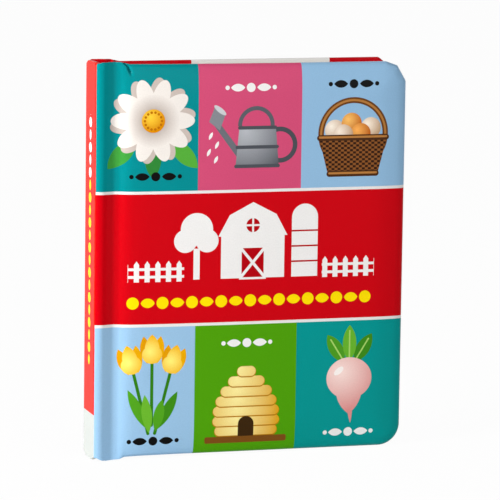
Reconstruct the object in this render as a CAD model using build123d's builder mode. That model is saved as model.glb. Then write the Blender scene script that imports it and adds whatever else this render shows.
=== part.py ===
"""Children's padded board book: a case of two foam-padded boards in a glossy wrap, round a block of
thick board leaves. It stands upright and closed, front cover towards -Y and spine towards -X."""

from build123d import *
import os

os.makedirs("parts", exist_ok=True)

# Driving dimensions, in millimetres
book_width = 165.8           # from the spine's outer face to the fore-edge
board_height = 203.0         # height of each padded cover
corner_radius = 11.5         # rounded fore-edge corners of the covers
wrap_sheet = 0.3             # laminated printed paper with its glue
board_thick = 2.3            # grey board of covers and spine
foam_thick = 3.0             # padding between board and wrap
end_paper = 0.4              # sheet glued inside each cover
page_gap = 0.2               # air between a closed cover and the first leaf
leaf_thick = 1.5             # one board leaf
leaf_count = 12
turn_in = 14.0               # wrap folded over the edges and glued inside

# Spine and the pressed groove beside it, measured from the spine's face and the cover's face
tail_drop = 2.4              # how far the spine's tail reaches below the covers
head_rise = 1.5              # how far the spine's head stands above them
shoulder_depth = 4.0         # corner of the shoulder below the cover's face
shoulder_width = 1.0         # corner of the shoulder behind the spine's face
shoulder_radius = 1.4
spine_corner = 1.2           # run of the bevel from the shoulder to the spine's face
spine_corner_radius = 1.4
groove_start = 8.1           # where the floor of the groove begins
groove_end = 12.4            # where the ramp of the cover begins
groove_radius = 2.5
groove_seam = 1.5            # wrap glued to the end paper past the groove, under the ramp
hinge_line = 6.3             # where the wrap of the cover parts from the wrap of the spine
hinge_slit = 0.3

# Padded face of a cover: a steep ramp, a soft knee, then a long slope up to the flat
ramp_top = 17.1
ramp_top_depth = 2.95
ramp_radius = 3.0
knee = 24.8
knee_depth = 1.75
knee_radius = 25.0
crown_start = 60.8
crown_radius = 400.0
cover_board_start = 16.4     # hinge edge of the grey board
tail_flat = 13.0             # the spine's tail is full length up to here
tail_taper = 4.0             # then it slants up to the cover's edge

# Rolled rim of a cover at head, tail and fore-edge
rim_width = 10.5
rim_depth = 1.45
rim_radius = 2.4

# Block of leaves
square = 3.0                 # cover's overhang past the leaves
leaf_groove_width = 0.25
leaf_groove_depth = 0.6
spine_glue = 0.1             # between the leaves and the spine's lining

# Worked out from the above
cover_thick = 2 * wrap_sheet + foam_thick + board_thick
block_thick = leaf_count * leaf_thick
book_thickness = 2 * (cover_thick + end_paper + page_gap) + block_thick
board_head = tail_drop + board_height
book_height = board_head + head_rise
groove_floor = cover_thick - wrap_sheet
cover_start = hinge_line + hinge_slit / 2
spine_end = hinge_line - hinge_slit / 2
block_depth = cover_thick + end_paper + page_gap
spine_lining = 2 * wrap_sheet + board_thick
window_start = groove_end + groove_seam
clear = 5.0                  # how far cutting shapes run past the part

corner = (-book_width / 2, -book_thickness / 2, 0)
plan = Plane(origin=corner)                                           # x across, y into the book
front_view = Plane(origin=corner, x_dir=(1, 0, 0), z_dir=(0, -1, 0))  # x across, y upwards


def rounded_outline(start, edge, foot, head, radius):
    """Face seen from the front: square at the hinge, rounded at the two fore-edge corners."""
    with BuildSketch() as outline:
        with BuildLine():
            FilletPolyline(
                (start, foot),
                (edge, foot),
                (edge, head),
                (start, head),
                radius=[0, radius, radius, 0],
                close=True,
            )
        make_face()
    return outline.sketch


def leaf_outline(inset):
    """Outline of the leaves seen from the front, smaller by inset on its three open sides."""
    return rounded_outline(
        spine_lining + spine_glue,
        book_width - square - inset,
        tail_drop + square + inset,
        board_head - square - inset,
        corner_radius - square - inset,
    )


def slope_depth(across):
    """Depth of the wrap where it falls straight from the shoulder to the floor of the groove."""
    fall = (groove_floor - shoulder_depth) / (groove_start - shoulder_width)
    return shoulder_depth + (across - shoulder_width) * fall


face_points = [
    (groove_start, groove_floor),
    (groove_end, groove_floor),
    (ramp_top, ramp_top_depth),
    (knee, knee_depth),
    (crown_start, 0),
    (book_width, 0),
]
face_radii = [groove_radius, ramp_radius, knee_radius, crown_radius]


def cover_face_line():
    """The padded face of a cover seen from above, from the groove's floor to the fore-edge."""
    return FilletPolyline(*face_points, radius=face_radii)


def wrap_line():
    """The outer face of the cover's wrap seen from above, which begins on the spine's shoulder."""
    hinge_edge = (cover_start, slope_depth(cover_start))
    return FilletPolyline(hinge_edge, *face_points, radius=[groove_radius, *face_radii])


def spine_face_line():
    """The outer face of the spine seen from above, from one hinge round to the other."""
    back = book_thickness
    return FilletPolyline(
        (spine_end, slope_depth(spine_end)),
        (shoulder_width, shoulder_depth),
        (0, shoulder_depth + spine_corner),
        (0, back - shoulder_depth - spine_corner),
        (shoulder_width, back - shoulder_depth),
        (spine_end, back - slope_depth(spine_end)),
        radius=[shoulder_radius, spine_corner_radius, spine_corner_radius, shoulder_radius],
    )


def padded_form(skin):
    """The whole form of the front cover, smaller all round by skin."""
    foot = tail_drop + skin
    head = board_head - skin
    edge = book_width - skin
    with BuildPart() as form:
        with BuildSketch(plan.offset(foot)):
            with BuildLine():
                face = cover_face_line()
                Polyline(face @ 1, (book_width, cover_thick), (groove_start, cover_thick), face @ 0)
            make_face()
            if skin > 0:
                offset(amount=-skin, kind=Kind.INTERSECTION)
        extrude(amount=head - foot)
        fillet(form.edges().filter_by(Axis.Y).group_by(Axis.X)[-1], radius=corner_radius - skin)

        # The rim rolls away from the face along head, fore-edge and tail
        with BuildLine(front_view.offset(-skin)) as rim_path:
            FilletPolyline(
                (0, foot), (edge, foot), (edge, head), (0, head), radius=corner_radius - skin
            )
        with BuildSketch(Plane(origin=rim_path.line @ 0, x_dir=(0, 1, 0), z_dir=(1, 0, 0))) as rim:
            with BuildLine():
                roll = FilletPolyline(
                    (cover_thick, 0), (rim_depth, 0), (0, rim_width), radius=rim_radius - skin
                )
                Polyline(roll @ 1, (-clear, rim_width), (-clear, -clear), (cover_thick, -clear), roll @ 0)
            make_face()
        sweep(sections=rim.sketch, path=rim_path.line, mode=Mode.SUBTRACT)
    return form.part


outer_form = padded_form(0)
inner_form = padded_form(wrap_sheet)

# Wrap of the front cover: a skin over the padding, with turn-ins and a strip down into the groove
with BuildPart() as front_wrap:
    add(outer_form)
    with BuildSketch(plan):
        with BuildLine():
            wrap_line()
            offset(amount=wrap_sheet, side=Side.LEFT)
        make_face()
        with Locations((tail_flat + tail_taper, 0)):
            Rectangle(book_width, book_thickness, align=Align.MIN, mode=Mode.SUBTRACT)
    extrude(amount=book_height)
    with BuildSketch(front_view):
        with BuildLine():
            Polyline(
                (cover_start, 0),
                (tail_flat, 0),
                (tail_flat + tail_taper, tail_drop),
                (book_width, tail_drop),
                (book_width, board_head),
                (tail_flat + tail_taper, board_head),
                (tail_flat, book_height),
                (cover_start, book_height),
                close=True,
            )
        make_face()
    extrude(amount=-book_thickness, mode=Mode.INTERSECT)
    add(inner_form, mode=Mode.SUBTRACT)
    with BuildSketch(front_view.offset(-groove_floor)):
        add(
            rounded_outline(
                window_start,
                book_width - turn_in,
                tail_drop + turn_in,
                board_head - turn_in,
                wrap_sheet,
            )
        )
    extrude(amount=-clear, mode=Mode.SUBTRACT)

# Grey board of the front cover, its outer corners crushed to the wrap
with BuildPart() as front_board:
    add(inner_form)
    with BuildSketch(front_view.offset(-groove_floor)):
        add(rounded_outline(cover_board_start, book_width, tail_drop, board_head, corner_radius))
    extrude(amount=board_thick, mode=Mode.INTERSECT)

# Foam of the front cover, full in the middle and thin at its rim
with BuildPart() as front_padding:
    add(inner_form)
    with BuildSketch(front_view.offset(-(groove_floor - board_thick))):
        add(rounded_outline(cover_board_start, book_width, tail_drop, board_head, corner_radius))
    extrude(amount=foam_thick + wrap_sheet, mode=Mode.INTERSECT)

# End paper glued inside the front cover, over the turn-ins
with BuildPart() as front_pastedown:
    with BuildSketch(front_view.offset(-cover_thick)):
        add(
            rounded_outline(
                cover_start,
                book_width - square,
                tail_drop + square,
                board_head - square,
                corner_radius - square,
            )
        )
    extrude(amount=-end_paper)

# The back cover mirrors the front
with BuildPart() as back_wrap:
    mirror(front_wrap.part, about=Plane.XZ)
with BuildPart() as back_board:
    mirror(front_board.part, about=Plane.XZ)
with BuildPart() as back_padding:
    mirror(front_padding.part, about=Plane.XZ)
with BuildPart() as back_pastedown:
    mirror(front_pastedown.part, about=Plane.XZ)

# Core of the spine: all that lies inside its wrap, from which the board and the folds are cut
with BuildPart() as spine_core:
    with BuildSketch(plan.offset(wrap_sheet)):
        with BuildLine():
            edge = spine_face_line()
            Line(edge @ 1, edge @ 0)
        make_face()
        offset(amount=-wrap_sheet, kind=Kind.INTERSECTION)
    extrude(amount=book_height - 2 * wrap_sheet)

with BuildPart() as spine_board:
    add(spine_core.part)
    with BuildSketch(plan):
        Rectangle(wrap_sheet + board_thick, book_thickness, align=Align.MIN)
    extrude(amount=book_height, mode=Mode.INTERSECT)

# Wrap of the spine: one bent sheet over both shoulders, folded over the ends of the spine board
with BuildPart() as spine_fold:
    with BuildSketch(plan):
        with BuildLine():
            edge = spine_face_line()
            Line(edge @ 1, edge @ 0)
        make_face()
        Rectangle(spine_lining, book_thickness, align=Align.MIN, mode=Mode.INTERSECT)
    extrude(amount=book_height)
    with BuildSketch(plan.offset(turn_in)):
        Rectangle(book_width, book_thickness, align=Align.MIN)
    extrude(amount=book_height - 2 * turn_in, mode=Mode.SUBTRACT)
    add(spine_board.part, mode=Mode.SUBTRACT)
with BuildPart() as spine_wrap:
    with BuildSketch(plan):
        with BuildLine():
            spine_face_line()
            offset(amount=wrap_sheet, side=Side.RIGHT)
        make_face()
    extrude(amount=book_height)
    add(spine_fold.part)

# Block of board leaves, with the strips of end paper that carry the grooves
with BuildPart() as page_block:
    with BuildSketch(front_view.offset(-block_depth)):
        add(leaf_outline(0))
    extrude(amount=-block_thick)
    with BuildSketch(front_view.offset(-cover_thick)):
        with Locations((spine_lining + spine_glue, tail_drop + square)):
            Rectangle(
                spine_end - spine_lining - spine_glue, board_height - 2 * square, align=Align.MIN
            )
    extrude(amount=-(book_thickness - 2 * cover_thick))
    for leaf in range(1, leaf_count):
        with BuildSketch(front_view.offset(-(block_depth + leaf * leaf_thick - leaf_groove_width / 2))):
            Rectangle(book_width, book_height, align=Align.MIN)
            add(leaf_outline(leaf_groove_depth), mode=Mode.SUBTRACT)
        extrude(amount=-leaf_groove_width, mode=Mode.SUBTRACT)

pieces = {
    "page_block": page_block,
    "spine_board": spine_board,
    "spine_wrap": spine_wrap,
    "front_board": front_board,
    "front_padding": front_padding,
    "front_wrap": front_wrap,
    "front_pastedown": front_pastedown,
    "back_board": back_board,
    "back_padding": back_padding,
    "back_wrap": back_wrap,
    "back_pastedown": back_pastedown,
}
for name, piece in pieces.items():
    piece.part.label = name
    export_step(piece.part, f"parts/{name}.step")
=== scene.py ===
# %% [markdown]
# # A padded board book
# A children's board book stands closed on its tail. Thick board leaves are glued into a case: two grey
# boards, each padded with foam, and a spine board, all wrapped in one sheet of glossy printed paper
# that is pressed into a groove beside the spine, where the covers turn. The CAD model is the frame. It
# says where each piece is and carries it when a cover opens, and this script gives the pieces their
# looks.

# %% The frame
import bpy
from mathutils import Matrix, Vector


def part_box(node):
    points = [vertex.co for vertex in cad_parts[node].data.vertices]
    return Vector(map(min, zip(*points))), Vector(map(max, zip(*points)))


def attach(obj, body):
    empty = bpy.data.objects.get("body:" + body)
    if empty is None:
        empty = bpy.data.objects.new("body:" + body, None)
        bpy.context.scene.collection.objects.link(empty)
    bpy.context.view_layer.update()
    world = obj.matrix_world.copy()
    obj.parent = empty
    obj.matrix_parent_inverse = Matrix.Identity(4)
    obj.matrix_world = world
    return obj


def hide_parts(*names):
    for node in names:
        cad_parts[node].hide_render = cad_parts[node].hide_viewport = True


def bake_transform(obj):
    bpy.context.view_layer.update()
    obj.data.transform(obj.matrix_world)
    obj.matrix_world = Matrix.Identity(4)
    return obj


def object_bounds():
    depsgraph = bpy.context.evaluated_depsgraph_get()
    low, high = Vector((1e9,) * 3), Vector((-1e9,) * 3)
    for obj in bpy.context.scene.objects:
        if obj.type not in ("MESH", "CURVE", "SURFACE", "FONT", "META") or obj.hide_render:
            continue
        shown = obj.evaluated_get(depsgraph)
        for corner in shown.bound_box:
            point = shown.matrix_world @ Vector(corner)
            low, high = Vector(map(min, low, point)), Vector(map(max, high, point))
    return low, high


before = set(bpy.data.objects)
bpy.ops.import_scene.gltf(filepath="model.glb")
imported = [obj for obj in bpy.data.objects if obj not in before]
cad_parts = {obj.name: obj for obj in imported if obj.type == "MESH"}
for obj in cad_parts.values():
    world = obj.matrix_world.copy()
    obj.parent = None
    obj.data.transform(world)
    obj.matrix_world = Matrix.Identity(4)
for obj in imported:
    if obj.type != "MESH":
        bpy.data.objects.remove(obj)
cad_box = [list(corner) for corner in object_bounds()]

# %% [markdown]
# ## How the book is measured
# A bookbinder measures a cover from the spine, from its foot and from its padded face, in millimetres.
# The form of each piece is worked out that way here, and one function turns it to metres in the frame.
# The few sizes that the pieces share come from the frame itself.

# %% Measures
import math
from contextlib import contextmanager
import bpy
import numpy as np
from mathutils import Matrix, Vector

mm = 0.001
wrap = 0.3  # wrap and its glue, on the CAD boards
board_low, board_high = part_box("front_board")
spine_face, front_face, tail = cad_box[0]
width = (cad_box[1][0] - spine_face) / mm  # spine's face to fore-edge
thickness = (cad_box[1][1] - front_face) / mm
foot = board_low.z - wrap * mm  # foot of the covers, above the spine's tail
height = (board_high.z - board_low.z) / mm + 2 * wrap  # foot to head of a cover
tail_drop = (foot - tail) / mm
floor = (board_high.y - front_face) / mm  # groove's floor, below the cover's face
board_top = (board_low.y - front_face) / mm  # where foam meets board
print(f"cover {width:.1f} by {height:.1f} mm, book {thickness:.1f} mm thick, groove {floor:.2f} mm deep")


def place(across, up, depth, side=1):
    """Points of a cover as metres in the frame. side is 1 for the front cover and -1 for the back."""
    x = spine_face + np.asarray(across) * mm
    y = side * (front_face + np.asarray(depth) * mm)
    z = foot + np.asarray(up) * mm
    return np.stack(np.broadcast_arrays(x, y, z), axis=-1)


def ease(value, low, high):
    """0 below low, 1 above high, and a smooth step between."""
    share = np.clip((value - low) / (high - low), 0, 1)
    return share * share * (3 - 2 * share)


def on_line(value, line):
    return np.interp(value, line[:, 0], line[:, 1])


# %% [markdown]
# ## Lines with rounded corners
# Seen from above, a cover is a few straight runs joined by arcs: down the shoulder, along the groove,
# up the ramp and over the padding. A designer draws such a line as corners with a radius each, so that
# is how it is written here.

# %% Rounded lines
def rounded(corners, radii):
    """Points along a line through corners, where each inner corner is an arc of its radius."""
    corners = [np.array(corner, float) for corner in corners]
    points = [corners[0]]
    for before, corner, after, radius in zip(corners, corners[1:], corners[2:], radii):
        back = (before - corner) / np.linalg.norm(before - corner)
        ahead = (after - corner) / np.linalg.norm(after - corner)
        half = math.acos(float(back @ ahead)) / 2
        centre = corner + (back + ahead) / np.linalg.norm(back + ahead) * radius / math.sin(half)
        first = corner + back * radius / math.tan(half)
        last = corner + ahead * radius / math.tan(half)
        for share in np.linspace(0, 1, 13):
            spoke = first * (1 - share) + last * share - centre
            points.append(centre + spoke / np.linalg.norm(spoke) * radius)
    points.append(corners[-1])
    return np.array(points)


hinge = 6.15  # where the wrap of cover and spine part
shoulder, groove = (3.8, 3.6), (9.9, 5.1)
slope = (groove[1] - shoulder[1]) / (groove[0] - shoulder[0])
hinge_depth = shoulder[1] + (hinge - shoulder[0]) * slope
face_line = rounded(
    [(hinge, hinge_depth), groove, (12.6, 4.5), (15.4, 3.1), (18.4, 2.25), (24, 1.6), (38.8, 0.8),
     (68.8, 0), (width + 1, 0)],
    [5, 8, 16, 20, 80, 400, 900],
)
rim_line = rounded([(0, 3.6), (1.0, 2.05), (4.0, 1.05), (13, 0), (30, 0)], [1.6, 14, 90])
head_lines = {  # how far the head stands up, front and back
    1: rounded([(0, 1.85), (12.4, 1.8), (17.6, 0.6), (39, 0.3), (97, 0), (width, 0)], [8, 8, 900, 900]),
    -1: rounded([(0, 1.3), (12.6, 1.2), (17.6, 0), (width, 0)], [10, 10]),
}
tail_line = rounded(
    [(0, 0.86), (5.9, 0.86), (8.9, 0.82), (13.9, 0.62), (16.2, 0.2), (24, 0.08), (44, 0), (width, 0)],
    [8, 12, 3, 4, 200, 400],
)

# %% [markdown]
# ## The form of a padded cover
# The foam makes the cover high in the middle and low at its rim. Two lines say how: one across the
# cover, from the groove to the flat, and one inward from the rim. Their heights multiplied give a soft
# cushion that runs out smoothly both ways, also where ramp and rim meet. The fore-edge corners are
# round. At the upper corners the wrap was gathered in pleats, which leave them faceted. Beside the
# spine the case is longer than its covers, and two more lines say how it slants down to them. There the
# wrap has a crease at the head.

# %% Form of a cover
corner_radius = 11.5
board_edge = (12.8, 17.8)  # where the board begins, under the wrap
rim_reach = 16  # within it the grids have finer steps
pleats = {  # degrees and distance from the corner's middle
    1: ((86, 11.5), (54, 11.5), (7, 11.5)),
    -1: ((90, 11.5), (71.6, 12.12), (53.5, 11.4), (12, 11.5)),
}


def round_corners(across, up, right, low, high, radius):
    """Bends the two fore-edge corners of a square sheet into arcs, and keeps its rows and columns."""
    across, up = np.array(across, float), np.array(up, float)
    u = np.clip((across - (right - radius)) / radius, 0, 1)
    for sign, middle in ((1, high - radius), (-1, low + radius)):
        v = np.clip(sign * (up - middle) / radius, 0, 1)
        corner = (u > 0) & (v > 0)
        across = np.where(corner, right - radius + radius * u * np.sqrt(1 - v * v / 2), across)
        up = np.where(corner, middle + sign * radius * v * np.sqrt(1 - u * u / 2), up)
    return across, up


def from_corner(across, up):
    """How far points lie past the middles of the corner arcs, across and up."""
    return (
        np.maximum(across - (width - corner_radius), 0),
        np.sign(up - height / 2) * np.maximum(abs(up - height / 2) - (height / 2 - corner_radius), 0),
    )


def outward(across, up):
    """Direction square to the rim, for points past the middles of the corner arcs, and 0 for others."""
    past = np.array(from_corner(across, up))
    return past / np.maximum(np.hypot(*past), 1e-9)


def rim_distance(across, up):
    """Distance in from the rim at head, fore-edge and foot."""
    past_side = across - (width - corner_radius)
    past_end = abs(up - height / 2) - (height / 2 - corner_radius)
    corner = np.hypot(np.maximum(past_side, 0), np.maximum(past_end, 0))
    return corner_radius - corner - np.minimum(np.maximum(past_side, past_end), 0)


def facet(across, up, side):
    """Moves the arc of the upper corner to the straight lines between its pleats."""
    past_side, past_end = from_corner(across, up)
    angle = np.degrees(np.arctan2(past_end, past_side))
    share = np.ones_like(angle)
    for (high, far), (low, close) in zip(pleats[side], pleats[side][1:]):
        inside = (angle <= high) & (angle >= low) & (past_side > 0)
        to_high = np.sin(np.radians(high - np.clip(angle, low, high)))
        to_low = np.sin(np.radians(np.clip(angle, low, high) - low))
        chord = far * close * math.sin(math.radians(high - low)) / (far * to_high + close * to_low)
        share = np.where(inside, chord / corner_radius, share)
    return across - past_side * (1 - share), up - past_end * (1 - share)


crease_depth = 1.5
crease_down, crease_across = (0, 1.2, 4.9, 7.5), (13.4, 15.5, 17.5, 18.4)
double_sheet = 0.5  # folded wrap, where no board is
under_board = 0.27
full_inset, corner_trim = 9.0, 0.27  # the turn-in is short at a corner


def crease(across, up):
    """Depth of the crease in the wrap at the head, steep towards the spine and gentle beyond."""
    past = across - np.interp(height - up, crease_down, crease_across)
    steep, gentle = ease(past, -0.3, 0.5), 1 - ease(past, 0.5, 2.3)
    return crease_depth * steep * gentle * ease(up, height - 6, height - 3)


def cover_point(across, up, side, fall=0.0, inset=0.0):
    """Places on a cover's wrap. fall goes from 0 on the face to 1 under the board, inset inwards."""
    across, up = round_corners(across, up, width, 0, height, corner_radius)
    face = on_line(across, face_line)
    rim = on_line(rim_distance(across, up), rim_line) * ease(across, 11, 18)
    depth = face + (floor - face) * rim / floor
    depth = np.minimum(depth + crease(across, up), floor)
    folded = depth + double_sheet
    under = folded + (floor + under_board - folded) * ease(across, *board_edge)
    depth = depth + fall * (under - depth)
    out = outward(across, up)
    across, up = facet(across, up, side)
    trimmed = min(inset, full_inset) + max(inset - full_inset, 0) * corner_trim
    inset = np.where((out != 0).all(0), trimmed, inset)
    across, up = across - out[0] * inset, up - out[1] * inset
    rise = on_line(across, head_lines[side])
    drop = tail_drop * on_line(across, tail_line)
    up = up + rise * ease(up, height - 16, height) - drop * (1 - ease(up, 0, 16))
    return across, up, depth


# %% [markdown]
# ## Paper
# Every paper of the case starts as a flat grid, with its columns and rows closer together where the
# paper bends, and is then laid on a form. The grid remembers each vertex's place on the flat paper, in
# a UV map, because the printing follows the paper and not the form. An edge of the paper is turned over
# as a binder does it: the open edge is extruded, and each new row is laid a little further round.

# %% Sheets of paper
def shape_mode(kind, choice=None):
    """Edit mode, with all or nothing selected where choice is SELECT or DESELECT."""
    bpy.ops.object.mode_set(mode="EDIT")
    bpy.ops.mesh.select_mode(type=kind)
    if choice:
        bpy.ops.mesh.select_all(action=choice)


def look_mode():
    bpy.ops.object.mode_set(mode="OBJECT")


def smooth(angle):
    """Smooth shading, but for edges that are sharper than angle."""
    bpy.ops.object.shade_smooth_by_angle(angle=math.radians(angle))


def numbers(piece, name):
    return piece.data.attributes.get(name) or piece.data.attributes.new(name, "FLOAT", "POINT")


def read(piece, name):
    values = np.zeros(len(piece.data.vertices), np.float32)
    numbers(piece, name).data.foreach_get("value", values)
    return values.astype(float)


def flat_place(piece):
    return read(piece, "across"), read(piece, "up")


def write(piece, name, values):
    numbers(piece, name).data.foreach_set("value", np.asarray(values, np.float32))


def move(piece, points):
    piece.data.vertices.foreach_set("co", np.asarray(points, np.float32).ravel())
    piece.data.update()


def points_of(piece):
    points = np.zeros(len(piece.data.vertices) * 3, np.float32)
    piece.data.vertices.foreach_get("co", points)
    return points.reshape(-1, 3).astype(float)


def selected(piece):
    chosen = np.zeros(len(piece.data.vertices), bool)
    piece.data.vertices.foreach_get("select", chosen)
    return chosen


def sheet(name, columns, rows):
    """A flat grid with one line of vertices for each value of columns and rows."""
    steps = {"x_subdivisions": len(columns) - 1, "y_subdivisions": len(rows) - 1}
    bpy.ops.mesh.primitive_grid_add(size=2, **steps)
    piece = bpy.context.object
    piece.name = piece.data.name = name
    flat = points_of(piece)
    column = np.rint((flat[:, 0] + 1) / 2 * (len(columns) - 1)).astype(int)
    row = np.rint((flat[:, 1] + 1) / 2 * (len(rows) - 1)).astype(int)
    write(piece, "across", np.asarray(columns)[column])
    write(piece, "up", np.asarray(rows)[row])
    return piece


def select_edges(piece, wanted):
    """Selects the open edges of a sheet for which wanted(across, up) is true at both ends."""
    shape_mode("EDGE", "DESELECT")
    look_mode()
    mesh = piece.data
    used = np.zeros(len(mesh.loops), int)
    mesh.loops.foreach_get("edge_index", used)
    open_edge = np.bincount(used, minlength=len(mesh.edges)) == 1
    ends = np.zeros(len(mesh.edges) * 2, int)
    mesh.edges.foreach_get("vertices", ends)
    across, up = flat_place(piece)
    good = wanted(across, up)[ends].reshape(-1, 2).all(1)
    middle = (across[ends].reshape(-1, 2).mean(1), up[ends].reshape(-1, 2).mean(1))
    mesh.edges.foreach_set("select", open_edge & good & wanted(*middle))


def turn_over(piece, steps, lay):
    """Extrudes the selected edge once for each step, and lays the new row with lay(across, up, step)."""
    for step in steps:
        shape_mode("EDGE")
        bpy.ops.mesh.extrude_region_move()
        look_mode()
        new = selected(piece)
        points = points_of(piece)
        across, up = flat_place(piece)
        points[new] = lay(across[new], up[new], step)
        move(piece, points)
        run = read(piece, "run")
        run[new] = step[-1]
        write(piece, "run", run)


def ticks(*marks):
    """Places from mark to mark: ticks(0, 4, 10) is 0, 2.5, 5, 7.5 and 10."""
    places = [marks[0]]
    for start, count, end in zip(marks[::2], marks[1::2], marks[2::2]):
        places += list(np.linspace(start, end, count + 1)[1:])
    return places


def insets(reach, count):
    """Distances in from a rim, close together at the rim."""
    return [reach * (step / count) ** 1.7 for step in range(count + 1)]


def up_to_rim(rim, reach, count):
    return [rim - inset for inset in insets(reach, count)[-2::-1]]


def rim_to_rim(low, high, reach, count, middle):
    """Places from one rim to another, with count steps within reach of each and middle steps between."""
    first = [low + inset for inset in insets(reach, count)]
    return first + ticks(low + reach, middle, high - reach)[1:] + up_to_rim(high, reach, count)


def finish_sheet(piece, sheet_thickness, flipped):
    """Gives a laid sheet its thickness, inwards, and smooth shading up to its sharp folds."""
    if flipped:
        shape_mode("FACE", "SELECT")
        bpy.ops.mesh.flip_normals()
        look_mode()
    solid = piece.modifiers.new("thickness", "SOLIDIFY")
    solid.thickness = sheet_thickness * mm
    solid.offset = -1
    bpy.ops.object.modifier_apply(modifier=solid.name)
    smooth(50)


# %% [markdown]
# ## Wraps of the covers
# The wrap is laid over the padded form from the hinge to the fore-edge. Then its head, fore-edge and
# foot are turned over the board's edge and in under it. In the groove there is no board, so there the
# wrap is folded on itself.

# %% Wraps of the covers
paper = 0.25  # thickness of the wrap, as modelled
turn_in = 14.0


def lay_on_map(piece):
    """Writes the place on the flat paper, in metres, to the sheet's UV map."""
    (across, up), run = flat_place(piece), read(piece, "run")
    around, along = round_corners(across, up, width, 0, height, corner_radius)
    out = outward(around, along)
    flat = np.stack([around + out[0] * run, along + out[1] * run], axis=-1) * mm
    corners = np.zeros(len(piece.data.loops), int)
    piece.data.loops.foreach_get("vertex_index", corners)
    layer = piece.data.uv_layers[0]
    layer.name = "flat_paper"
    layer.data.foreach_set("uv", flat[corners].astype(np.float32).ravel())


def cover_wrap(name, side):
    columns = ticks(hinge, 10, 9, 50, 20, 16, 37, 40, width - rim_reach)
    columns += up_to_rim(width, rim_reach, 17)
    piece = sheet(name, columns, rim_to_rim(0, height, rim_reach, 17, 70))
    across, up = flat_place(piece)
    move(piece, place(*cover_point(across, up, side), side))
    edge = 0.01

    def outer(across, up):
        return (across > width - edge) | (up > height - edge) | (up < edge)

    select_edges(piece, outer)
    falls = [(0.2, 0, 0.4), (0.45, 0, 0.9), (0.7, 0.03, 1.4), (0.88, 0.2, 1.9), (1, 0.65, 2.4)]
    under = [(1, inset, 2 + inset) for inset in (1.4, 2.5, 4, 7, 10.5, turn_in)]
    turn_over(piece, falls + under, lambda across, up, step: place(
        *cover_point(across, up, side, step[0], step[1]), side))
    lay_on_map(piece)
    finish_sheet(piece, paper, side < 0)
    return piece


front_skin = cover_wrap("front_skin", 1)
back_skin = cover_wrap("back_skin", -1)
print("wrap of a cover:", len(front_skin.data.polygons), "faces")

# %% [markdown]
# ## Wrap of the spine
# The middle of the wrap goes from one hinge over a shoulder, down the flat of the spine and over the
# other shoulder. At head and tail it is folded over the end of the spine board, which is 2.3 mm thick,
# and runs out to a plain fold at the shoulders, where the board ends. Its corners are rubbed with use.

# %% Wrap of the spine
half_spine = [(hinge, hinge_depth), shoulder, (1.5, 3.9), (0, 5.15)]
spine_line = rounded(
    half_spine + [(across, thickness - depth) for across, depth in reversed(half_spine)],
    [4.5, 4.5, 1.1, 1.1, 4.5, 4.5],
)
spine_steps = np.linalg.norm(np.diff(spine_line, axis=0), axis=1)
spine_length = np.concatenate([[0], np.cumsum(spine_steps)])
fold_thick, board_fold = 0.5, 2.9
head_rub, tail_rub = (0.75, 1.3), 1.3  # worn off the corners, at the head front and back
blunt = 6.3  # blunted corner, along the wrap from the hinge


def spine_point(along, up, turn=0.0, run=0.0):
    """Places on the spine's wrap. turn goes over the end, up to 180 degrees, then run goes back in."""
    across, depth = (np.interp(along, spine_length, spine_line[:, axis]) for axis in (0, 1))
    front = np.where(depth < thickness / 2, 1, -1)
    over = np.maximum(board_fold - across, 0)  # how far the fold reaches over the board
    aside = front * fold_thick * ease(across, 0, 1)
    rise = np.minimum(np.hypot(over, aside) / 2, 0.8)
    angle = math.radians(turn)
    share = (1 - math.cos(angle)) / 2
    off_corner = np.minimum(abs(along - blunt), abs(spine_length[-1] - along - blunt))
    high = height + np.interp(depth, (6, thickness - 6), (head_lines[1][0, 1], head_lines[-1][0, 1]))
    high = high - rise - np.where(front > 0, *head_rub) * (1 - ease(off_corner, 0, 3.6))
    from_face = np.minimum(depth, thickness - depth)
    low = -tail_drop * np.interp(from_face, (5.2, 8), (tail_line[0, 1], 1))
    low = low + rise + tail_rub * (1 - ease(off_corner, 0.8, 5.4))
    level = low + up * (high - low)
    level = level + np.where(up > 0.5, 1, -1) * (rise * math.sin(angle) - run - 0.4 * share)
    return place(across + over * share, level, depth + aside * share)


def spine_wrap():
    total = spine_length[-1]
    columns = ticks(0, 30, 10, 16, total - 10, 30, total)
    piece = sheet("spine_skin", columns, ticks(0, 8, 0.04, 40, 0.96, 8, 1))
    along, up = flat_place(piece)
    move(piece, spine_point(along, up))
    select_edges(piece, lambda along, up: (up < 0.001) | (up > 0.999))
    turns = [(angle, 0, angle) for angle in (22, 45, 68, 90, 112, 135, 158, 180)]
    runs = [(180, run, 180 + run) for run in (4, 9, turn_in)]
    turn_over(piece, turns + runs, lambda along, up, step: spine_point(along, up, step[0], step[1]))
    finish_sheet(piece, paper, True)
    return piece


spine_skin = spine_wrap()

# %% [markdown]
# ## Board and foam
# Inside each wrap lie the grey board and the foam on it. Nobody sees them, but the book needs
# them. Each is a grid of the cover's outline, extruded to a slab, and its top is laid under the wrap.

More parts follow.
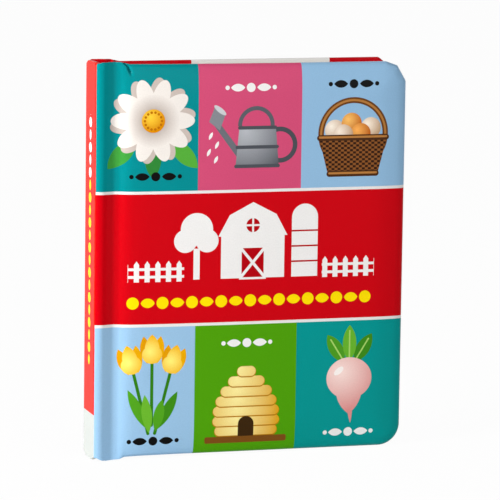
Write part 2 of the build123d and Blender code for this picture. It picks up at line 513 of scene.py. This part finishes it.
# %% Board and foam
def slab(name, side, start, top, bottom):
    """A slab inside the cover: top and bottom give its depths from the depth of the wrap above."""
    columns = ticks(start, 16, 33, 30, width - rim_reach) + up_to_rim(width, rim_reach, 9)
    piece = sheet(name, columns, rim_to_rim(0, height, rim_reach, 9, 40))
    shape_mode("FACE", "SELECT")
    bpy.ops.mesh.extrude_region_move()
    look_mode()
    upper = selected(piece)
    across, up = flat_place(piece)
    extra = crease(across, up)  # keeps it clear of the crease in the wrap
    across, up, depth = cover_point(across, up, side)
    depth = np.minimum(depth + extra, floor - 0.5)
    out = outward(across, up)
    in_by = 0.35 * np.clip(1 - rim_distance(across, up) / corner_radius, 0, 1)
    across, up = across - out[0] * in_by, up - out[1] * in_by
    levels = np.where(upper, top(depth), bottom(depth))
    move(piece, place(across, up, levels, side))
    shape_mode("FACE", "SELECT")
    bpy.ops.mesh.normals_make_consistent(inside=False)
    look_mode()
    smooth(40)
    return piece


foams, boards = {}, {}
for name, side in (("front", 1), ("back", -1)):
    foams[name] = slab(
        name + "_foam", side, 17.4, lambda depth: depth + wrap,
        lambda depth: np.maximum(board_top, depth + wrap + 0.05))
    boards[name] = slab(
        name + "_grey_board", side, 16.4, lambda depth: np.maximum(board_top, depth + wrap),
        lambda depth: 0 * depth + floor - 0.02)

# %% [markdown]
# ## End papers
# A strong paper lines each cover. It covers the turned-in edges of the wrap, whose step shows through
# it, crosses the hinge and runs on to the spine, glued to the first leaf. So it bends when the cover
# opens.

# %% End papers
square = 3.0  # cover's overhang past paper and leaves
end_thick = 0.25
leaf_face = 6.5


def end_paper(name, side):
    right, low, high = width - square, square, height - square
    columns = ticks(3.3, 40, 20, 60, right - turn_in) + up_to_rim(right, turn_in, 8)
    piece = sheet(name, columns, rim_to_rim(low, high, turn_in, 8, 80))
    across, up = flat_place(piece)
    across, up = round_corners(across, up, right, low, high, corner_radius - square)
    over_turn_in = 1 - ease(rim_distance(across, up), turn_in - 0.6, turn_in + 0.6)
    depth = floor + end_thick + 0.05 + paper * over_turn_in
    depth = leaf_face - 0.04 + (depth - leaf_face + 0.04) * ease(across, *board_edge)
    move(piece, place(across, up, depth, side))
    finish_sheet(piece, end_thick, side > 0)
    return piece


front_end_paper = end_paper("front_end_paper", 1)
back_end_paper = end_paper("back_end_paper", -1)

# %% [markdown]
# ## Leaves and spine board
# Each leaf is a board 1.4 mm thick, die-cut with round corners at the fore-edge. It starts as a cube
# of the leaf's size. Its corners at the fore-edge are bevelled to their radius, then all its edges get
# a fine bevel, as a cutting die leaves them. The leaves are copies, none quite in line. The spine board
# is cut the same way, and its four corners are crushed round.

# %% Leaves and spine board
leaf_count = 12
leaf_pitch = (thickness - 2 * leaf_face) / leaf_count
leaf_start = 3.0


def cut_board(name, size, radius, axis, first=-1):
    """A board of a size in millimetres, with the corner edges along axis rounded by radius."""
    bpy.ops.mesh.primitive_cube_add(size=1)
    board = bpy.context.object
    board.name = board.data.name = name
    shape_mode("EDGE")
    bpy.ops.transform.resize(value=[side * mm for side in size])
    for offset, segments, at_corner in ((radius, 10, True), (0.12, 2, False)):
        bpy.ops.mesh.select_all(action="DESELECT")
        look_mode()
        for edge in board.data.edges:
            start, end = (board.data.vertices[index].co for index in edge.vertices)
            along = abs(start[axis] - end[axis]) > 0.1 * mm
            edge.select = along == at_corner and (not at_corner or start.x > first)
        shape_mode("EDGE")
        bpy.ops.mesh.bevel(offset=offset * mm, segments=segments, affect="EDGES")
    look_mode()
    return board


def leaf_block():
    size = (width - square - leaf_start, leaf_pitch - 0.07, height - 2 * square)
    first = cut_board("leaves", size, corner_radius - square, 1, first=0)
    random = np.random.default_rng(12)
    leaves = [first] + [first.copy() for number in range(1, leaf_count)]
    for leaf in leaves[1:]:
        leaf.data = first.data.copy()
        bpy.context.collection.objects.link(leaf)
    for number, leaf in enumerate(leaves):
        slip = random.uniform(-0.12, 0.12, 2)
        middle = ((leaf_start + width - square) / 2 + min(slip[0], 0), height / 2 + slip[1])
        depth = leaf_face + (number + 0.5) * leaf_pitch
        leaf.data.transform(Matrix.Translation(place(*middle, depth)))
    bpy.ops.object.select_all(action="DESELECT")
    for leaf in leaves:
        leaf.select_set(True)
    bpy.context.view_layer.objects.active = first
    bpy.ops.object.join()
    smooth(30)
    return first


leaves = leaf_block()
strip = cut_board("spine_strip", (2.2, thickness - 9.6, height + 0.4), 1.5, 0)
strip.data.transform(Matrix.Translation(place(1.5, height / 2 + 0.2, thickness / 2)))
smooth(30)
print("leaves:", leaf_count, "of", round(leaf_pitch, 2), "mm")

# %% [markdown]
# ## Materials
# A colour is written as a printer would give it, in hexadecimal, and turned to the linear values that
# Blender works in.

# %% Material helpers
def ink(code):
    """A linear colour from a printer's hexadecimal one."""
    values = [int(code[digit:digit + 2], 16) / 255 for digit in (1, 3, 5)]
    return tuple(v / 12.92 if v <= 0.04045 else ((v + 0.055) / 1.055) ** 2.4 for v in values) + (1,)


class Nodes:
    """A node tree, with a short way to add nodes. A value may be a number, a socket or None."""

    def __init__(self, tree):
        self.tree = tree

    def add(self, kind, *values, **settings):
        node = self.tree.nodes.new("ShaderNode" + kind)
        for name, value in settings.items():
            setattr(node, name, value)
        for socket, value in zip(node.inputs, values):
            self.set(socket, value)
        return node

    def set(self, socket, value):
        if isinstance(value, bpy.types.NodeSocket):
            self.tree.links.new(value, socket)
        elif value is not None:
            socket.default_value = value

    def math(self, operation, *values):
        return self.add("Math", *values, operation=operation).outputs[0]

    def vector(self, operation, *values, output=0):
        return self.add("VectorMath", *values, operation=operation).outputs[output]

    def between(self, value, low, high):
        """0 where value is low and 1 where it is high. low may be the greater."""
        return self.add("MapRange", value, low, high, 0.0, 1.0).outputs[0]

    def mix(self, share, first, second):
        node = self.add("Mix", data_type="RGBA")
        self.set(node.inputs[0], share)
        self.set(node.inputs[6], first)
        self.set(node.inputs[7], second)
        return node.outputs[2]

    def noise(self, at, scale, detail=2.0):
        return self.add("TexNoise", at, None, scale, detail).outputs[0]


class Inks(Nodes):
    """The nodes of a new material."""

    def __init__(self, name, roughness, specular):
        self.material = bpy.data.materials.new(name)
        self.material.use_nodes = True
        super().__init__(self.material.node_tree)
        self.shader = self.tree.nodes["Principled BSDF"]
        self.shader.inputs["Roughness"].default_value = roughness
        self.shader.inputs["Specular IOR Level"].default_value = specular

    def colour(self, value):
        self.set(self.shader.inputs["Base Color"], value)

    def bump(self, relief, distance, strength):
        node = self.add("Bump", strength, distance)
        self.set(node.inputs["Height"], relief)
        self.set(self.shader.inputs["Normal"], node.outputs[0])

    def object_place(self):
        return self.add("TexCoord").outputs["Object"]

    def paper_place(self):
        """Place on the flat paper in millimetres, from the sheet's own UV map."""
        node = self.add("UVMap", uv_map="flat_paper")
        return self.vector("SCALE", node.outputs[0], None, None, 1 / mm)


# %% [markdown]
# ## Laying out the print
# The cover's print is fields of flat colour, with simple farmyard shapes over them. It could be an
# image, but a shape can also be a rule: a rounded box is all that lies within some radius of a smaller
# box, a leaf is what two discs share, and a ring of petals is one petal on a plane that is folded like
# a fan. Rules stay sharp at any distance, and each shape is laid over what is under it, as ink is.

# %% Print shapes
class Print(Inks):
    """A printed sheet. Shapes are placed in millimetres from the spine's face and the cover's foot."""
    soft = 0.1  # soft edge of a shape

    def begin(self, at, colour):
        self.at = at
        self.paint = ink(colour)

    @contextmanager
    def on(self, plane):
        """Shapes laid inside the with block are placed on another plane."""
        before, self.at = self.at, plane
        yield
        self.at = before

    def spot(self, x, y, turn=0.0, wide=1.0, high=1.0):
        """The plane seen from x, y, turned by some degrees and in units of wide and high."""
        turned = (0, 0, math.radians(turn))
        settings = (x, y, 0), turned, (wide, high, 1)
        return self.add("Mapping", self.at, *settings, vector_type="TEXTURE").outputs[0]

    def near(self, gap, limit, soft=soft):
        return self.between(gap, limit + soft, limit)

    def gap(self, x, y, plane=None):
        return self.vector("DISTANCE", plane or self.at, (x, y, 0), output=1)

    def disc(self, x, y, radius):
        return self.near(self.gap(x, y), radius)

    def ring(self, x, y, radius, line):
        off = self.math("ABSOLUTE", self.math("SUBTRACT", self.gap(x, y), radius))
        return self.near(off, line)

    def oval(self, x, y, half_wide, half_high, turn=0.0):
        around = self.gap(0, 0, self.spot(x, y, turn, half_wide, half_high))
        return self.near(around, 1, self.soft / min(half_wide, half_high))

    def box(self, x, y, half_wide=0.0, half_high=0.0, radius=0.0, turn=0.0):
        """A box rounded by radius. half_wide and half_high are its reach, the radius included."""
        plane = self.spot(x, y, turn)
        limit = (half_wide - radius, half_high - radius, 0)
        inside = self.vector("MINIMUM", plane, limit)
        inside = self.vector("MAXIMUM", inside, tuple(-value for value in limit))
        return self.near(self.vector("DISTANCE", plane, inside, output=1), radius)

    def leaf(self, x, y, length, breadth, turn):
        radius = (length * length + breadth * breadth) / 4 / breadth
        off, angle = radius - breadth / 2, math.radians(turn)
        over, up = -math.sin(angle) * off, math.cos(angle) * off
        first, second = self.gap(x + over, y + up), self.gap(x - over, y - up)
        return self.near(self.math("MAXIMUM", first, second), radius)

    def polygon(self, *corners):
        """A shape of straight edges with no inward corner, its corners given leftwards round it."""
        reach = None
        for start, end in zip(corners, corners[1:] + corners[:1]):
            length = math.hypot(end[0] - start[0], end[1] - start[1])
            out = ((end[1] - start[1]) / length, (start[0] - end[0]) / length, 0)
            past = self.vector("DOT_PRODUCT", self.at, out, output=1)
            past = self.math("SUBTRACT", past, start[0] * out[0] + start[1] * out[1])
            reach = past if reach is None else self.math("MAXIMUM", reach, past)
        return self.near(reach, 0)

    def fan(self, x, y, count, turn=0.0):
        """The plane folded like a fan round x, y, so that one shape on it prints count times."""
        parts = self.add("SeparateXYZ", self.spot(x, y, turn))
        angle = self.math("ARCTAN2", parts.outputs[1], parts.outputs[0])
        angle = self.math("PINGPONG", angle, math.pi / count)
        away = self.gap(x, y)
        along = self.math("MULTIPLY", away, self.math("COSINE", angle))
        off = self.math("MULTIPLY", away, self.math("SINE", angle))
        return self.add("CombineXYZ", along, off, 0.0).outputs[0]

    def strip(self, x, y, pitch):
        """The plane folded to and fro along its width, so that a shape repeats in a row."""
        parts = self.add("SeparateXYZ", self.spot(x, y))
        folded = self.math("PINGPONG", parts.outputs[0], pitch / 2)
        return self.add("CombineXYZ", folded, parts.outputs[1], 0.0).outputs[0]

    def both(self, first, second):
        return self.math("MINIMUM", first, second)

    def either(self, first, *others):
        for other in others:
            first = self.math("MAXIMUM", first, other)
        return first

    def without(self, first, second):
        return self.both(first, self.math("SUBTRACT", 1.0, second))

    def tone(self, light, dark, x, y, reach):
        """A colour that runs from light at x, y to dark at reach away."""
        return self.mix(self.between(self.gap(x, y), 0.0, reach), ink(light), ink(dark))

    def lay(self, mask, colour):
        self.paint = self.mix(mask, self.paint, ink(colour) if isinstance(colour, str) else colour)

    def field(self, left, right, low, high, colour):
        """A field of flat colour with square corners."""
        middle = (left + right) / 2, (low + high) / 2
        self.lay(self.box(*middle, (right - left) / 2, (high - low) / 2), colour)


# %% [markdown]
# ### The fields
# Three columns above and three below a red band, parted from it by white rules. The fields run on over
# every edge, as a printer lets them bleed, so the turned-in paper has their colours too.

# %% Fields of the front
bleed = 40.0
top_fields = ((-bleed, 53.3, "#008a8f"), (53.3, 108.5, "#d24e76"), (108.5, width + bleed, "#92bbdc"))
low_fields = ((-bleed, 52.7, "#98c0e0"), (52.7, 107.5, "#4e9e05"), (107.5, width + bleed, "#019491"))
band = (69.1, 136.75)
rule = 1.4


def front_fields(sheet):
    for left, right, colour in top_fields:
        sheet.field(left, right, band[1], height + bleed, colour)
    for left, right, colour in low_fields:
        sheet.field(left, right, -bleed, band[0], colour)
    for low in (band[0] - rule, band[1]):
        sheet.field(-bleed, width + bleed, low, low + rule, "#eae7e5")


# %% [markdown]
# ### The motifs
# A motif is drawn round its own middle and set in its field by the plane that it is laid on. Light and
# dark run softly through the larger shapes, which keeps flat shapes from looking like cut paper.

# %% Motifs of the upper fields
black, chalk, milk = "#0a0a0a", "#f0eeec", "#f2f0ee"


def daisy(sheet):
    for x, turn, colour in ((-15, 225, "#3f9a3c"), (15, -45, "#55ab3a"), (0, 270, "#2f8436")):
        sheet.lay(sheet.leaf(x, -16 - 2 * (x == 0), 19, 8, turn), colour)
    for turn, colour, reach in ((9, "#c9bbb2", 20.5), (0, "#efe8e1", 20)):
        with sheet.on(sheet.fan(0, 0, 10, turn)):
            petal = sheet.oval(reach - 8.6, 0, 8.6, 4.1)
            sheet.lay(petal, sheet.tone("#a8968c", colour, 2, 0, 11))
    sheet.lay(sheet.disc(0, 0, 5.6), sheet.tone("#ffd23c", "#d98a00", -1.5, 2, 7))
    with sheet.on(sheet.fan(0, 0, 14)):
        sheet.lay(sheet.disc(4.1, 0, 0.55), "#b86a00")


def watering_can(sheet):
    grey = sheet.tone("#b9bcc2", "#54575e", -6, 6, 26)
    sheet.lay(sheet.ring(13.5, -2, 8.6, 1.25), "#4a4d54")
    sheet.lay(sheet.without(sheet.ring(0, 9, 9.2, 1.1), sheet.box(0, 4, 12, 4.5)), "#5b5e66")
    sheet.lay(sheet.polygon((-8, -12), (-8, -6), (-21.5, 11.5), (-24, 9.5)), "#6b6e76")
    sheet.lay(sheet.polygon((-26.5, 11.2), (-20.5, 6.5), (-17.5, 15.2), (-23.2, 19.6)), "#85888f")
    sheet.lay(sheet.oval(-20.4, 17.4, 4.0, 1.3, -38), "#caccd0")
    body = sheet.polygon((-11.5, -14), (13, -14), (11, 8), (-9.5, 8))
    sheet.lay(body, grey)
    for level, reach in ((-13.4, 12.9), (-3, 12.2), (7.6, 11.0)):
        sheet.lay(sheet.box(0.7, level, reach, 0.9, 0.9), "#4d5057")
    for x, y in ((-25.5, 3.5), (-22, -1.5), (-26.5, -5.5), (-22.5, -9.5)):
        sheet.lay(sheet.leaf(x, y, 4.4, 1.6, 65), milk)


def basket(sheet):
    sheet.lay(sheet.ring(0, 2, 17.5, 1.5), "#6a3f1c")
    sheet.lay(sheet.ring(0, 2, 17.5, 0.5), "#b5793a")
    for x, y, light, dark in (
        (-10, 4, "#fff4e4", "#c9a685"), (-1, 7.5, "#ffc46a", "#c8671a"), (9.5, 5, "#fff1de", "#c39f7c"),
        (4, 2, "#ffb45a", "#b95a14"), (-5.5, 1.5, "#fdeedd", "#bf9a78"),
    ):
        sheet.lay(sheet.disc(x, y, 5.4), sheet.tone(light, dark, x - 2, y + 2, 7.5))
    parts = sheet.add("SeparateXYZ", sheet.at)
    across = sheet.math("SINE", sheet.math("MULTIPLY", parts.outputs[0], 1.9))
    along = sheet.math("SINE", sheet.math("MULTIPLY", parts.outputs[1], 2.6))
    weave = sheet.between(sheet.math("MULTIPLY", across, along), -0.25, 0.25)
    cane = sheet.mix(weave, ink("#2b1a10"), ink("#8d5426"))
    sheet.lay(sheet.polygon((-13.5, -19), (13.5, -19), (18.5, 0), (-18.5, 0)), cane)
    for level, reach in ((-18.8, 14.2), (0, 19.6)):
        sheet.lay(sheet.box(0, level, reach, 1.5, 1.5), "#4c2c15")
        sheet.lay(sheet.box(0, level + 0.3, reach - 1, 0.5, 0.5), "#b87b3d")


# %% Motifs of the band
def barn(sheet):
    sheet.lay(sheet.polygon((-17, -20), (17, -20), (17, 3), (-17, 3)), chalk)
    sheet.lay(sheet.polygon((-18.5, 2), (18.5, 2), (12.5, 13), (-12.5, 13)), chalk)
    sheet.lay(sheet.polygon((-12.5, 13), (12.5, 13), (0, 19.5)), chalk)
    sheet.lay(sheet.box(0, -12, 6.5, 8), "#b3000c")
    for turn in (50, -50):
        sheet.lay(sheet.both(sheet.box(0, -12, 12, 0.7, 0, turn), sheet.box(0, -12, 6.5, 8)), chalk)
    sheet.lay(sheet.without(sheet.box(0, -12, 7.2, 8.7), sheet.box(0, -12, 5.9, 7.6)), chalk)
    sheet.lay(sheet.disc(0, 7.5, 3.6), "#b3000c")
    sheet.lay(sheet.either(sheet.box(0, 7.5, 3.6, 0.45), sheet.box(0, 7.5, 0.45, 3.6)), chalk)
    sheet.lay(sheet.box(28, -4.5, 7, 15.5), chalk)
    sheet.lay(sheet.disc(28, 11, 7), chalk)
    for level in (-12, -4, 4):
        sheet.lay(sheet.box(28, level, 7, 0.4), "#b3000c")
    sheet.lay(sheet.box(-30, -12, 1.6, 8), chalk)
    crown = sheet.either(sheet.disc(-30, 6, 8.5), sheet.disc(-36, 0, 6), sheet.disc(-24.5, 0, 6))
    sheet.lay(crown, chalk)


def fence(sheet):
    with sheet.on(sheet.strip(0, 0, 5.6)):
        picket = sheet.polygon((-1.3, -5), (1.3, -5), (1.3, 4), (0, 5.8), (-1.3, 4))
    rails = sheet.either(sheet.box(0, 1.6, 75, 0.65), sheet.box(0, -2.4, 75, 0.65))
    clear = sheet.without(sheet.box(0, 0, 66, 8), sheet.box(0.5, 0, 37, 9))
    sheet.lay(sheet.both(sheet.either(picket, rails), clear), chalk)


def garland(sheet):
    with sheet.on(sheet.strip(0, 0, 15.6)):
        beads = sheet.either(sheet.disc(0, 0, 3.1), sheet.leaf(7.8, 0, 7.2, 4.8, 0))
    sheet.lay(sheet.both(beads, sheet.box(0, 0, 66, 5)), "#ffe000")


# %% Motifs of the lower fields
def tulips(sheet):
    for x, tilt in ((-13, 14), (13, -14), (0, 0)):
        with sheet.on(sheet.spot(x, 12 - abs(x) / 2, tilt)):
            sheet.lay(sheet.box(0, -26, 0.95, 20, 0.95), "#2f7a12")
            sheet.lay(sheet.leaf(-4.2, 2, 17, 6.5, 98), "#e09a00")
            sheet.lay(sheet.leaf(4.2, 2, 17, 6.5, 82), "#eaa800")
            cup = sheet.either(sheet.leaf(0, 2.5, 18, 9, 90), sheet.oval(0, -1, 6.3, 5.6))
            sheet.lay(cup, sheet.tone("#fff07a", "#f5b400", -1.5, 1, 10))
    for x, y, length, turn, colour in (
        (-9, -23, 27, 116, "#4f9f1c"), (10, -24, 26, 62, "#3c8a14"),
        (-3, -26, 24, 97, "#69b32c"), (4.5, -27, 20, 78, "#4f9f1c"),
    ):
        sheet.lay(sheet.leaf(x, y, length, 6.4, turn), colour)


def beehive(sheet):
    for step, reach in enumerate((17, 18.2, 18, 16.6, 14, 10, 5.2)):
        level = -15 + 5.2 * step
        straw = sheet.tone("#fff0a0", "#dfa31c", -5, level + 1.5, 22)
        sheet.lay(sheet.box(0, level, reach, 3.0, 3.0), "#b57a10")
        sheet.lay(sheet.box(0, level + 0.25, reach - 0.3, 2.6, 2.6), straw)
    sheet.lay(sheet.either(sheet.disc(0, -11.5, 4.2), sheet.box(0, -14.8, 4.2, 3.2)), "#3a2408")
    sheet.lay(sheet.box(0, -19.6, 22, 1.7, 0.8), "#7b4c17")


def radish(sheet):
    for x, y, length, turn, colour in (
        (-8.5, 17, 20, 122, "#4d9b22"), (8.5, 17, 20, 58, "#3d8a1a"), (0, 20, 22, 90, "#67b22e"),
    ):
        sheet.lay(sheet.leaf(x, y, length, 8.4, turn), colour)
        sheet.lay(sheet.box(x * 0.9, y - 1, length / 2 - 2, 0.4, 0.4, turn), "#a8d468")
    tip = sheet.either(sheet.leaf(0, -7.5, 30, 16, 90), sheet.leaf(0.6, -17, 22, 3.2, 93))
    root = sheet.either(sheet.oval(0, -1, 14, 12.5), tip)
    sheet.lay(root, sheet.tone("#ffe3dc", "#dd8f8c", -5, 3, 24))
    sheet.lay(sheet.oval(-6.5, 3.5, 3.4, 1.7, 40), "#fff6f2")


def sprig(sheet, colour):
    """A small ornament beside each motif."""
    petals = sheet.either(sheet.leaf(7, 0, 7.4, 3.8, 0), sheet.leaf(-7, 0, 7.4, 3.8, 0))
    beads = sheet.either(sheet.disc(0, 0, 2.3), sheet.disc(12.6, 0, 1.1), sheet.disc(-12.6, 0, 1.1))
    sheet.lay(sheet.either(petals, beads), colour)


motifs = (
    (daisy, 29.5, 174.5, 1.08), (watering_can, 84, 163, 0.95), (basket, 136.5, 164, 1.0),
    (barn, 83, 112, 1.0), (fence, 83, 96.2, 1.0), (garland, 82, 80.2, 1.0),
    (tulips, 30, 44, 0.84), (beehive, 80.5, 26.5, 1.0), (radish, 136.5, 38, 0.88),
)
sprigs = (
    (31, 145.8, black), (81, 191, milk), (136.5, 192, black),
    (31, 7.8, black), (80.5, 58, milk), (136.5, 8.5, milk),
)

# %% [markdown]
# ### Paper and film
# The printed sheet is laminated with gloss film. Under it lies the slight grain of the paper, and over
# a padded cover the film is never quite flat.

# %% Finish of the laminate
def laminate(sheet, at):
    grain = sheet.noise(at, 1.4, 3.0)
    slow = sheet.math("MULTIPLY", sheet.noise(at, 0.05, 1.0), 6.0)
    sheet.bump(sheet.math("ADD", grain, slow), 0.00002, 0.6)
    tone = sheet.math("MULTIPLY", sheet.between(grain, 0.3, 0.7), 0.06)
    sheet.colour(sheet.mix(tone, sheet.paint, ink("#000000")))


front_print = Print("front print", 0.25, 0.05)
front_print.begin(front_print.paper_place(), "#cc000f")
front_fields(front_print)
for motif, x, y, scale in motifs:
    with front_print.on(front_print.spot(x, y, 0, scale, scale)):
        motif(front_print)
for x, y, colour in sprigs:
    with front_print.on(front_print.spot(x, y)):
        sprig(front_print, colour)
laminate(front_print, front_print.at)

back_print = Print("back print", 0.25, 0.05)
back_print.begin(back_print.paper_place(), "#c4000f")
back_print.field(55.9, 130.8, -bleed, height + bleed, "#e8e6e2")
laminate(back_print, back_print.at)
print("front print:", len(front_print.tree.nodes), "nodes")

# %% [markdown]
# ### The spine
# The spine's own colour meets the front's fields just round the shoulder. Its lowest part is white,
# printed here as a pale grey: painted shade that holds it down under the strong key light on the spine.
# A chain of beads and leaves runs down its middle, white at first and then yellow.

# %% Spine print
spine = Print("spine print", 0.25, 0.025)
place_in = spine.vector("SUBTRACT", spine.object_place(), (spine_face, front_face, foot))
place_in = spine.vector("SCALE", place_in, None, None, 1 / mm)
across_in, depth_in, up_in = spine.add("SeparateXYZ", place_in).outputs
spine.begin(spine.add("CombineXYZ", across_in, up_in, 0.0).outputs[0], "#cc000f")
front_fields(spine)
spine.lay(spine.between(depth_in, thickness / 2 - 0.1, thickness / 2 + 0.1), "#c4000f")
fields_end, edge_slant = (4.62, 4.78), 0.83  # past the face, and at the folds further in
from_face = spine.both(depth_in, spine.math("SUBTRACT", thickness, depth_in))
slant = spine.math("MULTIPLY", across_in, edge_slant)
on_spine = spine.between(spine.math("SUBTRACT", from_face, slant), *fields_end)
spine.lay(on_spine, "#e21c08")
# Painted shade: the white foot of the spine is inked pale grey to tone down the key light on it.
spine.lay(spine.both(on_spine, spine.between(up_in, 22.1, 21.9)), "#c4c9c5")
chain_top, chain_turn, chain_end, pitch = 173.0, 144.0, 47.0, 13.0
from_top = spine.math("SUBTRACT", chain_top, up_in)
down_spine = spine.add("CombineXYZ", from_top, depth_in, 0.0).outputs[0]
with spine.on(down_spine):
    with spine.on(spine.strip(0, thickness / 2, pitch)):
        bead = spine.disc(0, 0, 2.6)
        beads = spine.either(bead, spine.leaf(pitch / 2, 0, 5.6, 3.6, 0))
chain = spine.both(on_spine, beads)
below = spine.between(up_in, chain_top + 4, chain_top + 3.9)
above = spine.between(up_in, chain_end - 0.1, chain_end)
chain = spine.both(chain, spine.both(below, above))
yellow = spine.between(up_in, chain_turn + 0.1, chain_turn)
spine.lay(chain, spine.mix(yellow, ink("#f4f2f0"), ink("#ffd60a")))
laminate(spine, place_in)

# %% Paper, board and foam
def plain_stock(name, finish, colours, mottling, detail, surface, deep, strong):
    """An unprinted stock, mottled in two colours. mottling is how fine, across, through and up."""
    stock = Inks(name, *finish)
    at = stock.object_place()
    spots = stock.noise(stock.vector("MULTIPLY", at, mottling), 1.0, detail)
    stock.colour(stock.mix(spots, ink(colours[0]), ink(colours[1])))
    stock.bump(stock.noise(at, surface, detail), deep, strong)
    return stock


stocks = {
    name: plain_stock(name, *look) for name, *look in (
        ("end paper", (0.6, 0.3), ("#dfdcd4", "#e9e7e1"), (900, 900, 900), 3, 2500, 0.00003, 0.5),
        ("board leaves", (0.6, 0.3), ("#dcd6c8", "#f4f1ea"), (300, 5200, 300), 3, 1800, 0.00004, 0.5),
        ("grey board", (0.85, 0.2), ("#8d877e", "#b3aca1"), (1300, 1300, 1300), 4, 1700, 0.00006, 0.6),
    )
}

foam_stock = Inks("foam", 0.9, 0.1)
cells = foam_stock.add("TexVoronoi", foam_stock.object_place(), None, 1500.0).outputs["Distance"]
# Painted shade: the foam is darker in the pits of its cells, where the bump sinks.
foam_stock.colour(foam_stock.mix(cells, ink("#cfccc4"), ink("#efeeea")))
foam_stock.bump(cells, 0.0001, 0.7)

for stock, record_slot, *pieces in (
    (front_print, "front_print", front_skin),
    (back_print, "back_print", back_skin),
    (spine, "spine_print", spine_skin),
    (stocks["end paper"], "end_paper", front_end_paper, back_end_paper),
    (stocks["board leaves"], "board_leaves", leaves),
    (stocks["grey board"], "grey_board", strip, *boards.values()),
    (foam_stock, "padding", *foams.values()),
):
    for piece in pieces:
        piece.data.materials.clear()
        piece.data.materials.append(stock.material)

# %% [markdown]
# ## What each piece moves with
# Foam and board turn with their cover, the leaves and the spine's wrap stay with the block. The wrap
# and the end paper of a cover cross its hinge, where the book bends them; here they are only set in
# place in the frame and join no body.

# %% Bodies
bend_start, bend_end = 6.3, 11.3
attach(spine_skin, "block")
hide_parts("spine_wrap")
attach(leaves, "block")
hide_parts("page_block")
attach(strip, "block")
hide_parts("spine_board")
covers = (("front", 1, front_skin, front_end_paper), ("back", -1, back_skin, back_end_paper))
for name, side, skin, lining in covers:
    start = place(bend_start, height / 2, floor, side)
    end = place(bend_end, height / 2, floor, side)
    for piece, node in ((skin, "_wrap"), (lining, "_pastedown")):
        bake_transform(piece)
        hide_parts(name + node)
    for piece, node in ((foams[name], "_padding"), (boards[name], "_board")):
        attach(piece, name + "_cover")
        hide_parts(name + node)

# %% [markdown]
# ## Floor, light and camera
# The book stands on a pale floor, before a white background. A standing book leans by less than a
# degree, because its spine reaches below its covers, so the floor rises that much towards the
# fore-edge. A large soft light from the left makes the shoulder and the ramp bright and leaves the
# groove between them dark. White for the background comes from what the camera sees directly.

# %% Floor
def seen_directly(nodes):
    """1 for what the camera sees, also in a mirror or through glass, and 0 for light on the book."""
    path = nodes.add("LightPath").outputs
    seen = nodes.math("MAXIMUM", path["Is Camera Ray"], path["Is Glossy Ray"])
    return nodes.math("MAXIMUM", seen, path["Is Transmission Ray"])


bpy.ops.mesh.primitive_plane_add(size=6)
ground = bpy.context.object
ground.name = "floor"
lean = math.atan2(tail_drop * mm, (width - corner_radius) * mm)
ground.rotation_euler = (0, -lean, 0)
ground.location = (spine_face, 0, tail)
glow = 0.965  # the rest keeps the book's shadow
pale = Inks("pale floor", 0.9, 0.0)
pale.colour(ink("#ececec"))
share = pale.math("MULTIPLY", seen_directly(pale), glow)
white = pale.add("Emission").outputs[0]
blend = pale.add("MixShader", share, pale.shader.outputs[0], white)
pale.set(pale.tree.nodes["Material Output"].inputs["Surface"], blend.outputs[0])
ground.data.materials.append(pale.material)

# %% Light
world = bpy.data.worlds.new("studio")
bpy.context.scene.world = world
world.use_nodes = True
sky = Nodes(world.node_tree)
background = sky.tree.nodes["Background"].inputs
background["Color"].default_value = (1, 1, 1, 1)
strength = sky.add("MapRange", seen_directly(sky), 0.0, 1.0, 0.35, 1.0)
sky.set(background["Strength"], strength.outputs[0])


def soft_light(name, at, size, power):
    bpy.ops.object.light_add(type="AREA", location=at)
    lamp = bpy.context.object
    lamp.name = name
    lamp.data.shape = "RECTANGLE"
    lamp.data.size, lamp.data.size_y = size
    lamp.data.energy = power
    aim = Vector((0, 0, 0.1)) - lamp.location
    lamp.rotation_euler = aim.to_track_quat("-Z", "Y").to_euler()


soft_light("key", (-1.2, -0.36, 0.45), (0.55, 0.55), 19.8)
soft_light("fill", (0.4, -1.6, 0.6), (1.2, 1.0), 6.0)

# %% Camera
aim = Vector((0.00317, 0, 0.10651))
azimuth, elevation, roll = (math.radians(angle) for angle in (-16.485, 8.636, 0.8))
distance = 1.9975
back = Vector((math.sin(azimuth) * math.cos(elevation), -math.cos(azimuth) * math.cos(elevation),
               math.sin(elevation)))
bpy.ops.object.camera_add(location=aim + back * distance)
camera = bpy.context.object
look = (-back).to_track_quat("-Z", "Y").to_matrix().to_4x4()
camera.rotation_euler = (look @ Matrix.Rotation(roll, 4, "Z")).to_euler()
camera.data.lens, camera.data.sensor_width = 275.9, 36.0
bpy.context.scene.camera = camera
bpy.context.scene.view_settings.view_transform = "Standard"
